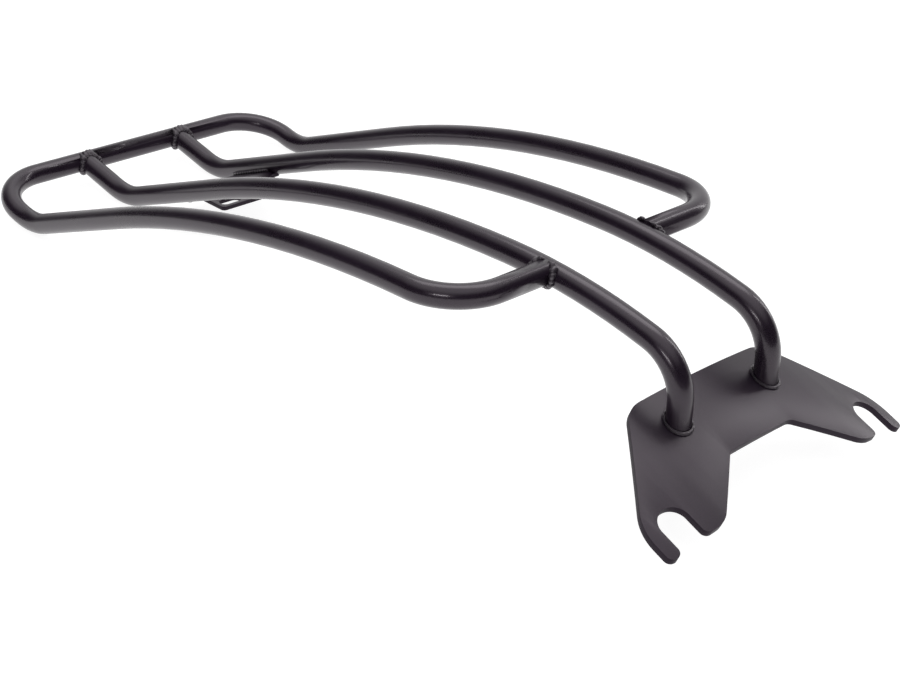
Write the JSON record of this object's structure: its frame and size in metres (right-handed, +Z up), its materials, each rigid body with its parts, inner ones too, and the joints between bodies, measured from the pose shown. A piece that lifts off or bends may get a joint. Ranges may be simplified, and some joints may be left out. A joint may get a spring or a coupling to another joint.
{
  "type": "luggage rack",
  "caption": "Welded steel tube luggage rack for a motorcycle's rear fender, with an arched hoop and rails on a hooked mounting plate.",
  "frame": {"origin": "on top of the mounting plate, on its crown line, midway between the axes of the two rail feet", "axes": "+Y forwards along the rack, towards the mounting plate; +X to the rider's right; +Z up, along the rail feet"},
  "size_m": [0.2238, 0.5542, 0.0914],
  "materials": {
    "black_powder_coat": "satin black powder coat"
  },
  "bodies": {
    "root": {"mounting_plate": "black_powder_coat", "inner_rail_right": "black_powder_coat", "inner_rail_left": "black_powder_coat", "outer_hoop": "black_powder_coat", "rear_bracket": "black_powder_coat", "weld_rail_foot_right": "black_powder_coat", "weld_rail_foot_left": "black_powder_coat", "weld_crossbar_right": "black_powder_coat", "weld_crossbar_left": "black_powder_coat", "weld_hoop_right": "black_powder_coat", "weld_hoop_left": "black_powder_coat", "weld_bracket_right": "black_powder_coat", "weld_bracket_left": "black_powder_coat"}
  },
  "joints": []
}
